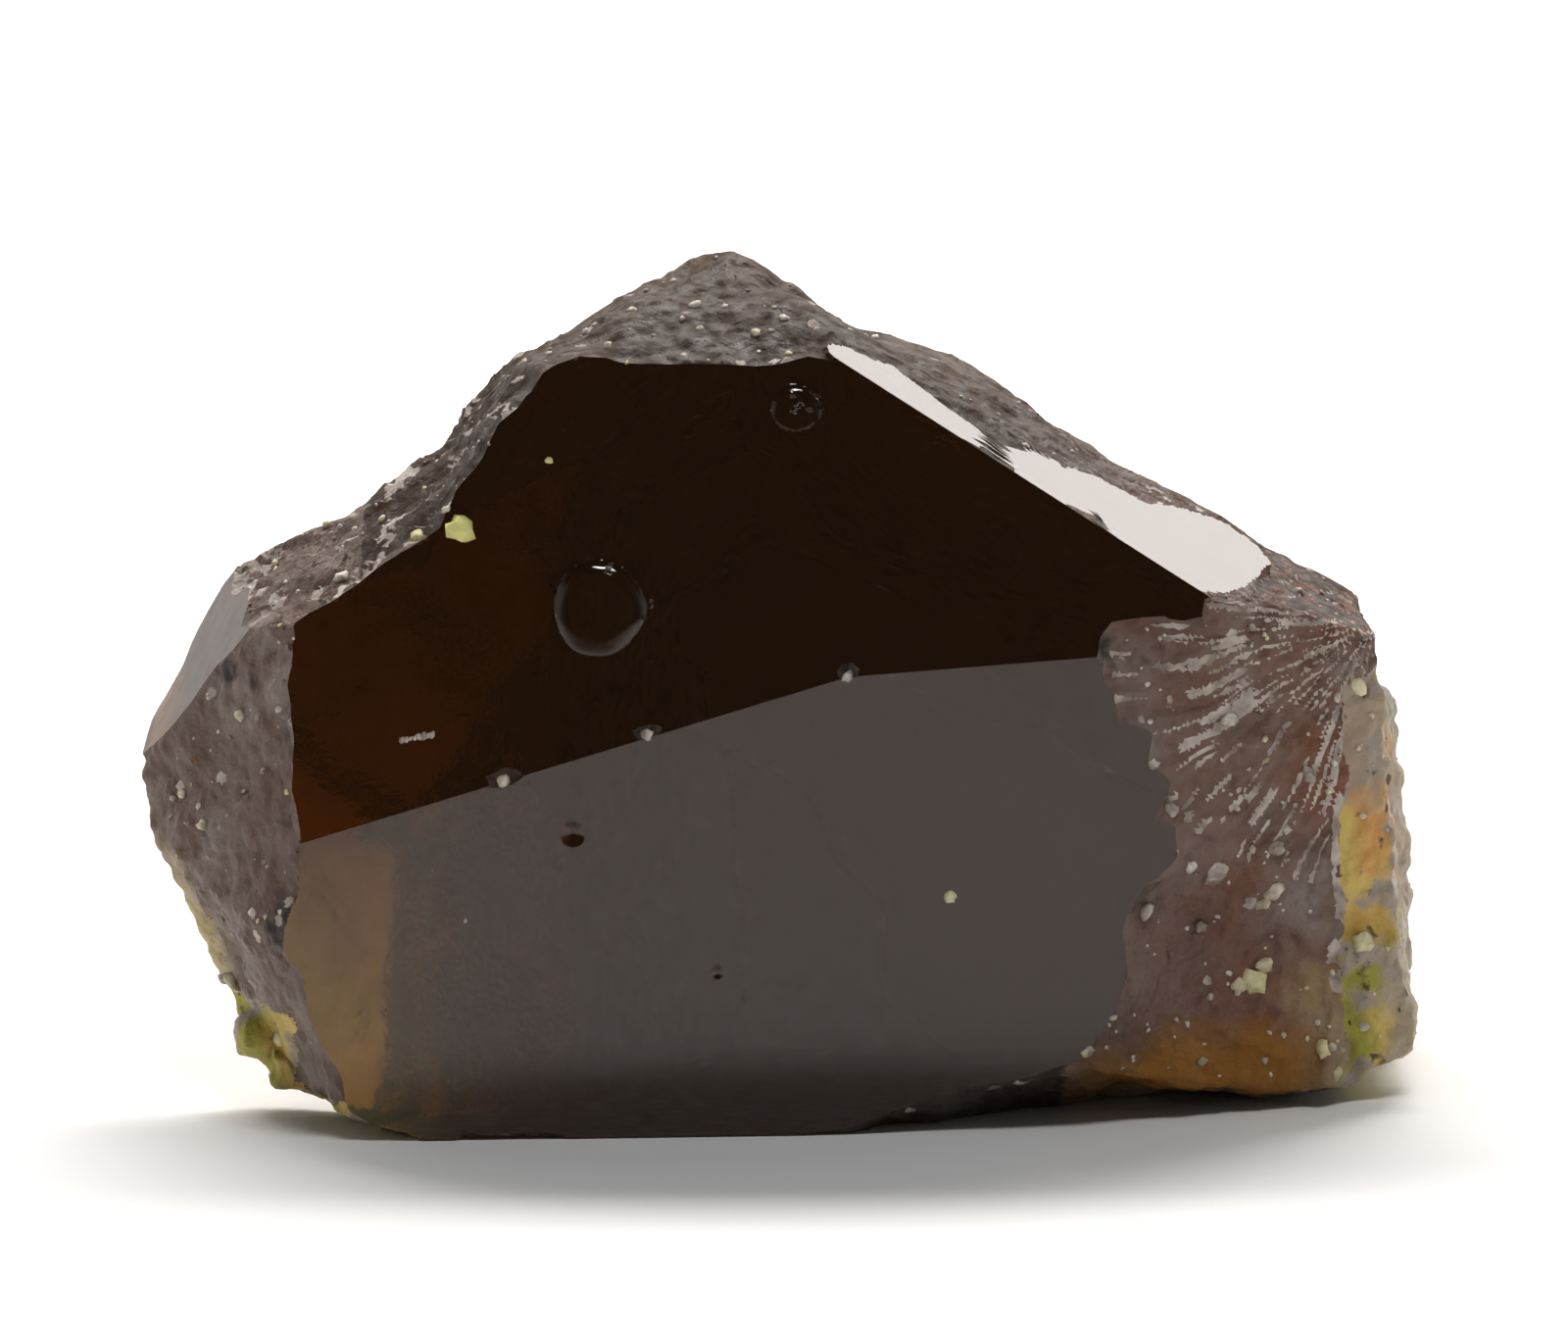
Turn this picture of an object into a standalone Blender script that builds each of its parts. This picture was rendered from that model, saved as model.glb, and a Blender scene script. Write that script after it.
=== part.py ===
"""Rough garnet: one broken fragment of a transparent brown crystal.

The stone is one solid. Three convex masses (the crown, the left shoulder and the right rind)
are cut from blocks by their fracture planes and joined. Their broken surfaces get their relief,
and then the smooth faces are cut clean through it, so that the outlines of the crystal faces are
as irregular as the fractures that they meet.

Lengths are millimetres until the last step. X runs along the stone, -Y is the side with the two
big faces, Z is up, and the stone rests on Z = 0.
"""
import math
from collections import namedtuple

import bpy
import bmesh
from mathutils import Matrix, Vector, noise

MM = 0.001
BLOCK = 60.0
SLICE = 0.30
SKIN_VOXEL = 0.13
RELIEF_TRIANGLES = 9500
EDGE_SWAY = 0.16
EDGE_PACE = 0.34
LATTICE_START = 0.37
SAME_PLANE = 20.0
GARNET_COLOUR = (0.075, 0.032, 0.014, 1.0)
GARNET_ROUGHNESS = 0.18
GARNET_IOR = 1.74

Plane = namedtuple("Plane", "point facing relief")
Pebble = namedtuple("Pebble", "place size turn")
Scoop = namedtuple("Scoop", "place radius depth")

# Corners that several faces share
KINK = Vector((1.27, -5.92, 8.67))
LEFT_TIP = Vector((-12.1, -2.8, 5.85))
RIDGE = Vector((3.95, -0.45, 13.26))
RIGHT_SHOULDER = Vector((11.1, -2.5, 9.25))
BACK_STRIKE = Vector((-2.0, 3.5, 12.5))
BEVEL_TOP = Vector((1.82, -3.56, 14.07))
BEVEL_FACING = Vector((0.44, -0.34, 0.806)).normalized()


def swayed(point, reach, pace):
    """The point moved aside by up to reach, in slow waves."""
    spots = (point * pace + Vector((offset, 0.0, 0.0)) for offset in (11.3, 47.9, 83.1))
    return point + reach * Vector([noise.noise(spot) for spot in spots])


def grain(point):
    """Sugary break, like the top of the crown."""
    return 0.16 * noise.fractal(point * 0.9, 0.8, 2.1, 5)


def rim(point):
    """The same break, calmer where it meets the bevel."""
    height = abs((point - BEVEL_TOP).dot(BEVEL_FACING))
    return grain(point) * min(1.0, 0.40 + height)


def pocked(point):
    """A break with small hollows."""
    cell = noise.voronoi(point * 1.1)[0][0]
    return 0.14 * noise.fractal(point * 0.8, 0.8, 2.1, 4) - 0.18 * max(0.0, 0.45 - cell)


def ledges(point):
    """Low waves that run down the slope, side by side from front to back."""
    across = point.y + 0.3 * point.x + 1.2 * noise.noise(point * 0.35)
    wave = math.sin(across * 2.8) + 0.4 * math.sin(across * 6.1)
    return 0.09 * wave + 0.12 * noise.fractal(point * 0.9, 0.8, 2.1, 4)


def hackles(point):
    """Fine ridges that fan out from the right shoulder, over faint shell ribs."""
    reach = Vector((point.x - RIGHT_SHOULDER.x, point.z - RIGHT_SHOULDER.z))
    angle = math.atan2(reach.y, reach.x)
    fan = math.sin(angle * 34.0 + 3.0 * noise.noise(point * 0.5))
    ribs = math.sin(reach.length * 2.6 + 2.0 * noise.noise(point * 0.3))
    return 0.05 * fan + 0.06 * ribs + 0.10 * noise.fractal(point * 0.9, 0.8, 2.1, 4)


def lumps(point):
    """Rounded knobs of the coarse rind."""
    cell = noise.voronoi(swayed(point, 0.3, 1.2) * 0.95)[0][0]
    return 0.34 * (0.5 - cell) + 0.10 * noise.fractal(point * 1.6, 0.8, 2.1, 3)


def shell(point):
    """Shell-like ripples that spread from one blow on the back of the crown."""
    reach = (point - BACK_STRIKE).length + 0.8 * noise.noise(point * 0.25)
    ripple = math.sin(reach * 2.1)
    return 0.11 * ripple + 0.07 * noise.fractal(point * 0.8, 0.8, 2.1, 4)


def flat(point):
    return 0.0


# Smooth faces, where the crystal grew or split flat
SMOOTH = {
    "front": Plane((0.0, -6.0, 0.0), (0.06, -1.0, 0.0), flat),
    "dark_left": Plane(KINK, (-0.020, -1.0, 0.268), flat),
    "dark_right": Plane(KINK, (0.037, -1.0, 0.335), flat),
    "bevel": Plane(BEVEL_TOP, BEVEL_FACING, flat),
    "left_gloss": Plane(LEFT_TIP, (-0.85, -0.15, 0.50), flat),
    "back_crystal": Plane((4.0, 5.5, 4.2), (0.27, 0.96, 0.02), flat),
    "back_facet": Plane((-5.5, 4.6, 5.0), (-0.50, 0.83, 0.22), flat),
    "rest": Plane((0.0, 0.0, 0.0), (0.0, 0.0, -1.0), flat),
}

# Broken faces of the crown, the stone's main mass
CROWN = {
    "top_front": Plane((-1.7, -4.31, 14.25), (0.02, -0.36, 0.93), grain),
    "top_right": Plane(BEVEL_TOP, (0.485, -0.07, 0.87), rim),
    "crown_left": Plane((-5.14, -4.6, 12.9), (-0.80, -0.10, 0.59), pocked),
    "crown_slope": Plane((-3.8, -2.0, 14.22), (-0.46, 0.02, 0.89), grain),
    "fracture_high": Plane((6.07, -5.64, 8.61), (0.20, -0.97, 0.07), hackles),
    "fracture_mid": Plane((7.35, -5.56, 5.7), (0.45, -0.89, 0.02), hackles),
    "fracture_low": Plane((7.3, -5.56, 4.8), (0.346, -0.924, -0.161), hackles),
    "fracture_brow": Plane((9.8, -4.85, 8.9), (0.62, -0.62, 0.48), hackles),
    "left_toe": Plane((-8.15, -6.49, 0.52), (-0.061, -0.60, -0.79), pocked),
    "right_end": Plane((11.1, 0.0, 7.0), (0.99, 0.05, 0.10), grain),
    "right_foot": Plane((11.2, 0.0, 0.72), (0.40, 0.05, -0.91), grain),
    "back_top": Plane(RIDGE, (0.404, 0.70, 0.60), shell),
    "back_left": Plane((-4.5, 1.0, 12.0), (-0.50, 0.70, 0.50), shell),
    "back_low": Plane((0.0, 6.6, 4.0), (0.05, 0.98, -0.12), shell),
    "back_right": Plane((9.6, 4.0, 4.0), (0.62, 0.76, 0.12), pocked),
    "crown_floor": Plane((0.0, 0.0, -1.0), (0.0, 0.0, -1.0), flat),
    "crown_flank": Plane((-6.5, 1.5, 8.5), (-0.92, 0.30, 0.25), shell),
}

# Broken faces of the lower mass on the left
SHOULDER = {
    "shoulder_top": Plane((-9.7, -1.0, 10.0), (-0.54, -0.17, 0.84), ledges),
    "shoulder_back": Plane((-8.0, -1.0, 10.8), (-0.30, 0.80, 0.52), shell),
    "left_brow": Plane((-10.8, -0.3, 8.45), (-0.77, 0.28, 0.57), pocked),
    "shoulder_low_back": Plane((-6.0, 4.8, 3.0), (-0.30, 0.94, -0.10), shell),
    "shoulder_floor": Plane((0.0, 0.0, -1.0), (0.0, 0.0, -1.0), flat),
    "shoulder_inside": Plane((-6.0, 0.0, 6.0), (1.0, 0.0, 0.0), flat),
}

# Broken faces of the left side, which end both of those masses
LEFT_SIDE = {
    "left_rough": Plane((-8.85, -6.55, 5.66), (-0.80, -0.60, 0.12), pocked),
    "left_under": Plane(LEFT_TIP, (-0.844, -0.464, -0.35), pocked),
    "left_back": Plane(LEFT_TIP, (-0.80, 0.45, -0.37), pocked),
    "left_foot": Plane((-9.7, -3.0, 0.36), (-0.40, -0.25, -0.88), pocked),
}

# The coarse rind that stands proud of the crown on the right
RIND = {
    "rind_face": Plane((11.67, 0.5, 3.5), (0.985, -0.15, 0.08), lumps),
    "rind_front": Plane((10.75, -3.82, 3.0), (0.55, -0.83, -0.10), lumps),
    "rind_top": Plane((11.4, -1.0, 7.45), (0.66, 0.22, 0.72), lumps),
    "rind_back": Plane((9.4, 3.7, 4.0), (0.62, 0.76, 0.12), lumps),
    "rind_foot": Plane((11.86, -1.0, 1.15), (0.45, 0.0, -0.89), lumps),
    "rind_inside": Plane((10.5, 0.0, 3.0), (-1.0, 0.0, 0.20), flat),
}

# The piece that is broken out under the front face on the right. These planes and the next
# group's face out of the stone, as all the others do.
HEEL = {
    "heel_left": Plane((0.2, -5.99, 0.0), (0.231, -0.484, -0.843), pocked),
    "heel_right": Plane((6.2, -5.5, 1.13), (-0.068, -0.33, -0.94), pocked),
}

# The piece that is broken out at the back on the left. It leaves the stone thin there, and
# thicker step by step towards the middle.
NOTCH = {
    "notch_back": Plane((-8.0, -3.3, 3.0), (0.25, 0.95, -0.25), shell),
    "notch_slope": Plane((-7.4, -3.4, 3.0), (-0.66, 0.74, -0.12), shell),
    "notch_side": Plane((-4.3, -1.2, 3.0), (-0.93, 0.36, -0.08), shell),
    "notch_roof": Plane((-8.0, -3.1, 4.8), (-0.12, 0.78, -0.61), shell),
}

# Small bites out of the sharp edges
CHIPS = (
    Pebble((-5.05, -6.45, 6.85), (0.42, 0.30, 0.22), 0.30),
    Pebble((-2.43, -6.28, 7.68), (0.34, 0.26, 0.18), 0.25),
    Pebble((1.27, -6.05, 8.78), (0.32, 0.24, 0.20), 0.10),
    Pebble((3.20, -6.02, 8.95), (0.55, 0.22, 0.14), 0.05),
    Pebble((4.35, -4.60, 12.65), (0.36, 0.40, 0.30), -0.55),
)

# Rounded knobs of rind on the thin edge at the lower left
KNOBS = (
    Pebble((-9.60, -3.80, 1.38), (0.62, 0.75, 0.60), 0.20),
    Pebble((-9.05, -4.10, 0.80), (0.50, 0.60, 0.42), -0.30),
)

# Shallow shell-shaped hollows that a blow leaves
SCOOPS = (
    Scoop((-0.9, -0.9, 15.4), 1.8, 0.32),
    Scoop((0.9, -0.9, 14.7), 1.6, 0.30),
    Scoop((1.9, -0.5, 14.1), 1.4, 0.18),
    Scoop((6.5, -0.5, 11.6), 1.0, 0.20),
    Scoop((9.2, -0.9, 10.0), 1.2, 0.20),
    Scoop((-10.7, -3.2, 1.9), 1.3, 0.12),
    Scoop((3.2, 3.4, 11.2), 4.2, 0.75),
    Scoop((-6.4, 4.0, 10.2), 3.2, 0.60),
    Scoop((8.8, -4.8, 3.2), 2.6, 0.28),
    Scoop((-1.0, 6.9, 2.6), 2.8, 0.50),
)


def remove_everything():
    for item in list(bpy.data.objects):
        bpy.data.objects.remove(item, do_unlink=True)


def new_object(name, bm):
    mesh = bpy.data.meshes.new(name)
    bm.to_mesh(mesh)
    bm.free()
    item = bpy.data.objects.new(name, mesh)
    bpy.context.collection.objects.link(item)
    return item


def evaluated_bmesh(item):
    """The object's mesh with its modifiers, as a bmesh."""
    bm = bmesh.new()
    bm.from_object(item, bpy.context.evaluated_depsgraph_get())
    return bm


def boolean(item, other, operation):
    step = item.modifiers.new(operation.lower(), "BOOLEAN")
    step.object = other
    step.operation = operation
    step.solver = "EXACT"


def cut_away(bm, plane):
    """Cut off what lies outside a plane and close the cut with flat faces."""
    facing = Vector(plane.facing).normalized()
    everything = bm.verts[:] + bm.edges[:] + bm.faces[:]
    cut = bmesh.ops.bisect_plane(bm, geom=everything, dist=1e-5, plane_co=plane.point,
                                 plane_no=facing, clear_outer=True)
    rim = [item for item in cut["geom_cut"] if isinstance(item, bmesh.types.BMEdge)]
    bmesh.ops.triangle_fill(bm, edges=rim, normal=facing, use_beauty=True)


def convex_mass(name, planes):
    """A block cut down to the space inside the given planes."""
    bm = bmesh.new()
    bmesh.ops.create_cube(bm, size=BLOCK)
    for plane in planes:
        cut_away(bm, plane)
    bmesh.ops.recalc_face_normals(bm, faces=bm.faces)
    return new_object(name, bm)


def turned_round(plane):
    return Plane(plane.point, -Vector(plane.facing), plane.relief)


def slice_evenly(bm):
    """Divide every face along an even lattice, so that relief has points to move."""
    for axis in range(3):
        along = [vert.co[axis] for vert in bm.verts]
        direction = Vector((0.0, 0.0, 0.0))
        direction[axis] = 1.0
        for count in range(math.ceil(min(along) / SLICE), math.floor(max(along) / SLICE) + 1):
            everything = bm.verts[:] + bm.edges[:] + bm.faces[:]
            bmesh.ops.bisect_plane(bm, geom=everything, dist=1e-3,
                                   plane_co=direction * (count + LATTICE_START) * SLICE,
                                   plane_no=direction)
    bmesh.ops.triangulate(bm, faces=bm.faces)


def plane_under(face, planes):
    """The plane that a face of the joined block was cut by."""
    middle = face.calc_center_median()

    def misfit(plane):
        facing = Vector(plane.facing).normalized()
        apart = abs((middle - Vector(plane.point)).dot(facing))
        return apart + SAME_PLANE * (1.0 - face.normal.dot(facing))

    return min(planes, key=misfit)


def scooped(point):
    """How deep the scoops cut at a point."""
    depth = 0.0
    for scoop in SCOOPS:
        share = (point - Vector(scoop.place)).length / scoop.radius
        depth += scoop.depth * max(0.0, 1.0 - share * share)
    return depth


def roughen(bm, planes):
    """Move each point of the block by the relief of the faces round it, then bend the edges."""
    bm.normal_update()
    zone = {face: plane_under(face, planes) for face in bm.faces}
    moves = {}
    for vert in bm.verts:
        heights = [zone[face].relief(vert.co) for face in vert.link_faces]
        moves[vert] = sum(heights) / len(heights) - scooped(vert.co)
    for vert, move in moves.items():
        vert.co = swayed(vert.co + vert.normal * move, EDGE_SWAY, EDGE_PACE)


def skinned(item):
    """One clean skin over the rough block, thinned to the triangles that its relief needs."""
    skin = item.modifiers.new("skin", "REMESH")
    skin.mode = "VOXEL"
    skin.voxel_size = SKIN_VOXEL
    quads = len(item.evaluated_get(bpy.context.evaluated_depsgraph_get()).data.polygons)
    thin = item.modifiers.new("thin", "DECIMATE")
    thin.ratio = RELIEF_TRIANGLES / (2 * quads)
    return evaluated_bmesh(item)


def dented_pebble(name, pebble):
    """One small rounded lump, to be cut away or joined on."""
    bm = bmesh.new()
    bmesh.ops.create_icosphere(bm, subdivisions=2, radius=1.0)
    turn = Matrix.Rotation(-pebble.turn, 4, "Y")
    size = Matrix.Diagonal((*pebble.size, 1.0))
    for vert in bm.verts:
        swell = 1.0 + 0.35 * noise.noise(vert.co * 1.7 + Vector(pebble.place))
        vert.co = Vector(pebble.place) + (turn @ size @ (vert.co * swell))
    return new_object(name, bm)


def settle(bm):
    """Put the middle of the stone's box over the origin, and turn millimetres into metres."""
    low = Vector([min(vert.co[axis] for vert in bm.verts) for axis in range(3)])
    high = Vector([max(vert.co[axis] for vert in bm.verts) for axis in range(3)])
    middle = (low + high) / 2.0
    bmesh.ops.translate(bm, vec=(-middle.x, -middle.y, -low.z), verts=bm.verts)
    bmesh.ops.scale(bm, vec=(MM, MM, MM), verts=bm.verts)


def garnet_material():
    material = bpy.data.materials.new("brown_garnet")
    material.use_nodes = True
    shader = material.node_tree.nodes["Principled BSDF"]
    shader.inputs["Base Color"].default_value = GARNET_COLOUR
    shader.inputs["Roughness"].default_value = GARNET_ROUGHNESS
    shader.inputs["IOR"].default_value = GARNET_IOR
    return material


def build():
    remove_everything()
    groups = (CROWN, SHOULDER, LEFT_SIDE, RIND, HEEL, NOTCH)
    broken = [plane for group in groups for plane in group.values()]
    stone = convex_mass("crown_mass", [*CROWN.values(), *LEFT_SIDE.values()])
    shoulder = convex_mass("shoulder_mass", [*SHOULDER.values(), *LEFT_SIDE.values()])
    rind = convex_mass("rind_mass", RIND.values())
    heel = convex_mass("heel_cutter", [turned_round(plane) for plane in HEEL.values()])
    notch = convex_mass("notch_cutter", [turned_round(plane) for plane in NOTCH.values()])
    boolean(stone, notch, "DIFFERENCE")
    boolean(shoulder, notch, "DIFFERENCE")
    boolean(stone, shoulder, "UNION")
    boolean(stone, rind, "UNION")
    boolean(stone, heel, "DIFFERENCE")
    bm = evaluated_bmesh(stone)

    slice_evenly(bm)
    roughen(bm, broken)
    block = new_object("rough_block", bm)

    bm = skinned(block)
    for plane in SMOOTH.values():
        cut_away(bm, plane)
    whole = new_object("whole_stone", bm)
    for knob in KNOBS:
        boolean(whole, dented_pebble("knob_mass", knob), "UNION")
    for chip in CHIPS:
        boolean(whole, dented_pebble("chip_cutter", chip), "DIFFERENCE")

    bm = evaluated_bmesh(whole)
    remove_everything()
    bmesh.ops.triangulate(bm, faces=bm.faces)
    settle(bm)
    garnet = new_object("garnet", bm)
    garnet.data.materials.append(garnet_material())


build()
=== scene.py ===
"""The looks of the rough garnet: a glassy brown fragment on a pale sheet.

Lengths in the constants and in the surface functions are millimetres, in the part's own frame.
"""
import math
import random

import bmesh
import bpy
from mathutils import Euler, Matrix, Vector, noise
from mathutils.bvhtree import BVHTree
from mathutils.geometry import closest_point_on_tri


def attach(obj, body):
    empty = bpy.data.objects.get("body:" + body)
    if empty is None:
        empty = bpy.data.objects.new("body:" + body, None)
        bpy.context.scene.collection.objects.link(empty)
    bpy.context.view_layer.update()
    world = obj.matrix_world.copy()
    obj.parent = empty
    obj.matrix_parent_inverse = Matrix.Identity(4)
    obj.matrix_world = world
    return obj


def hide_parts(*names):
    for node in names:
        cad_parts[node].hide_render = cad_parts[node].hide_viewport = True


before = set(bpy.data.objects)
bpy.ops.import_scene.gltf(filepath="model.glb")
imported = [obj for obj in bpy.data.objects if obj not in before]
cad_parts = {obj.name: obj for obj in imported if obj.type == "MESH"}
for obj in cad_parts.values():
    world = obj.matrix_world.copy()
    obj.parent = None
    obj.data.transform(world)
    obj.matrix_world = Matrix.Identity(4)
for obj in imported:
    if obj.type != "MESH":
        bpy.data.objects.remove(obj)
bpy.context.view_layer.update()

MM = 0.001

# Smooth faces: a point on each, the way it faces, and how frosted it is. ON_FACE is how near a
# point lies to such a face to be part of it, and BACK_FROST is the frost of the breaks behind.
SMOOTH_FACES = {
    "front": ((-0.08, -6.20, 0.0), (0.06, -1.0, 0.0), 0.12),
    "dark_left": ((1.19, -6.12, 8.67), (-0.020, -1.0, 0.268), 0.03),
    "dark_right": ((1.19, -6.12, 8.67), (0.037, -1.0, 0.335), 0.03),
    "bevel": ((1.74, -3.76, 14.07), (0.44, -0.34, 0.806), 0.05),
    "left_gloss": ((-12.18, -3.0, 5.85), (-0.85, -0.15, 0.50), 0.25),
    "back_crystal": ((3.92, 5.30, 4.2), (0.27, 0.96, 0.02), 0.2),
    "back_facet": ((-5.58, 4.40, 5.0), (-0.50, 0.83, 0.22), 0.2),
    "rest": ((0.0, 0.0, 0.0), (0.0, 0.0, -1.0), 1.0),
}
ON_FACE = 0.004
BACK_FROST = 0.7

# The polished stripe on the bevel. Its outline runs along the bevel's lower edge, from
# STRIPE_START: how far along, and how far up across the bevel the stripe begins and ends there.
STRIPE_START = Vector((1.263, -4.296, 14.105))
STRIPE_FOOT = ((-0.65, 0.30), (-0.45, -0.1), (1.62, -0.1), (1.74, 0.04), (1.82, 0.16), (1.92, 0.12),
               (2.02, -0.1), (2.72, -0.1), (2.90, 0.16), (3.00, 0.60), (3.12, 0.34), (3.30, -0.1),
               (4.92, -0.1), (5.10, 0.10), (5.33, 0.30), (5.43, 0.22), (5.55, -0.1), (7.45, -0.1),
               (7.80, 0.10), (8.12, 0.50), (8.32, 1.0), (8.42, 1.6), (8.50, 2.6))
STRIPE_TOP = ((-0.65, 0.30), (-0.45, 0.52), (0.20, 0.76), (0.55, 0.94), (1.10, 0.85), (1.75, 0.71),
              (2.60, 0.67), (2.86, 0.50), (2.95, 0.20), (3.04, 0.30), (3.12, 0.66), (3.25, 0.86),
              (3.65, 1.13), (4.05, 1.22), (4.25, 1.12), (4.45, 1.36), (5.00, 1.57), (5.95, 1.75),
              (6.20, 2.02), (6.50, 2.28), (7.05, 2.60), (7.50, 2.70), (8.10, 2.60), (8.50, 2.3))
# How far from the bevel's plane the stripe is looked for, and how much its outline wavers
STRIPE_REACH = 0.45
STRIPE_WAVER = 0.05

# Blisters and pits on the smooth faces: place, face, radius, height or depth
BLISTERS = (
    ((-3.376, -5.705, 9.876), "dark_left", 0.88, 0.22),
    ((0.238, -4.579, 13.376), "dark_right", 0.44, 0.13),
)
PITS = (
    ((-3.866, -6.427, 5.779), "front", 0.30, 0.07),
    ((-1.20, -6.27, 3.10), "front", 0.16, 0.02),
)
# Mesh fineness around them, and how often it is divided at most
SPOT_EDGE = 0.06
SPOT_ROUNDS = 12

# Where the hackle lines start
RIGHT_SHOULDER = Vector((11.02, -2.70, 9.25))

# Mesh fineness on the stripe, on the sides that show their grain most, and behind. The fine
# mesh of the stripe reaches a little past it: along, across and out of the bevel.
STRIPE_EDGE = 0.09
SHOWN_EDGE = 0.125
BACK_EDGE = 0.26
STRIPE_ALONG = (-1.0, 9.0)
STRIPE_ACROSS = (-0.15, 3.0)
STRIPE_DEPTH = 0.6
REFINE_ROUNDS = 4
SOFTEN_ROUNDS = 2
SHARP_ANGLE = math.radians(38.0)

# Where the rind lies at the right end, as knobs on the lower left edge and as a toe beside them:
# where it starts and is full along the stone, and the same in height
RIND_RIGHT = ((10.42, 10.56), (8.4, 8.1))
RIND_KNOBS = ((-8.95, -9.35), (2.3, 1.9))
RIND_TOE = ((-5.9, -6.3), (0.75, 0.55))

# Where each kind of broken surface starts and is full: by the way it faces, and along the stone
BACK_FACING = (0.1, 0.4)
HACKLE_FACING = (-0.2, -0.5)
HACKLE_ALONG = (4.6, 5.8)
SHOULDER_FACING = (0.45, 0.65)
SHOULDER_ALONG = (-4.4, -5.2)
SLOPE_FACING = (0.5, 0.7)
SLOPE_ALONG = (0.5, 2.0)
LEFT_BREAK = -7.8

# How far the painted highlight streaks reach from the right shoulder: where they end and are full
BROAD_GLINT_STREAKS = (5.2, 2.2)
FINE_GLINT_STREAKS = (6.5, 3.5)
# The crushed edge beside the rind: its place along the stone, and its upper and lower end
CRUSHED_EDGE = 10.40
CRUSHED_TOP = (6.4, 5.6)
CRUSHED_FOOT = (2.0, 2.4)

# Where a painted olive glow, of light through the thin lower left part, tints the stone: along the stone and
# in height
OLIVE_GLOW_ALONG = (-6.1, -7.1)
OLIVE_GLOW_HEIGHT = (5.8, 3.6)

# Optics of the stone
GARNET_IOR = 1.75
CLEARNESS = 0.9
ABSORPTION = 2000.0
ABSORPTION_TINT = (0.73, 0.645, 0.33, 1.0)
BODY_COLOUR = (0.40, 0.18, 0.06, 1.0)
# The olive colour below is a painted glow of light through the thin lower left part
OLIVE_GLOW = (0.90, 0.72, 0.15, 1.0)
FROST_PALE = (0.86, 0.68, 0.54, 1.0)
FROST_BROWN = (0.46, 0.26, 0.15, 1.0)

# Colours of the opaque crusts
# The crushed white also paints highlight streaks on the right fracture
CRUSHED_AND_GLINT_WHITE = (0.58, 0.52, 0.47, 1.0)
CRUSHED_GREY = (0.30, 0.25, 0.21, 1.0)
BREAK_BROWN = (0.17, 0.11, 0.085, 1.0)
BREAK_GREY = (0.31, 0.26, 0.23, 1.0)
BREAK_DARK = (0.055, 0.040, 0.034, 1.0)
BREAK_RED = (0.23, 0.105, 0.065, 1.0)
# Amber and cream are painted glows of light through thin stone
AMBER_GLOW = (0.34, 0.16, 0.022, 1.0)
CREAM_GLOW = (0.50, 0.41, 0.23, 1.0)
# The rind's green, yellow and orange are a painted glow of light through its thin edge; its grey and dark
# are its own
RIND_GREEN_GLOW = (0.40, 0.37, 0.07, 1.0)
RIND_YELLOW_GLOW = (0.62, 0.47, 0.15, 1.0)
RIND_ORANGE_GLOW = (0.62, 0.34, 0.12, 1.0)
RIND_GREY = (0.40, 0.34, 0.28, 1.0)
RIND_DARK = (0.13, 0.10, 0.05, 1.0)
GRAIN_WHITE = (0.74, 0.68, 0.62, 1.0)
GRAIN_YELLOW = (0.82, 0.78, 0.34, 1.0)

# Where the rind's painted glow turns green, in height, and where its own grey covers it, along the stone and
# in height
RIND_GREEN_GLOW_HEIGHT = (4.2, 2.6)
RIND_GREY_ALONG = (11.25, 11.50)
RIND_GREY_HEIGHT = (5.4, 6.2)
RIND_GREY_COVER = 0.85

# Where the dull breaks turn red, and where glows of light through thin stone are painted: amber under the
# right side and cream at the thin left end
RED_ALONG = (5.2, 10.0)
AMBER_GLOW_HEIGHT = (1.9, 1.1)
AMBER_GLOW_LEFT = (5.0, 6.4)
AMBER_GLOW_RIGHT = (10.4, 9.6)
CREAM_GLOW_HEIGHT = (5.2, 3.4)
CREAM_GLOW_DEPTH = (-4.2, -3.4)

# Height of the finest grain, which is left to the shading
FROST_GRAIN = 0.11
RIND_GRAIN = 0.14
CRUSHED_GRAIN = 0.08
BREAK_GRAIN = 0.13
CRUMB_GRAIN = 0.05

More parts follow.
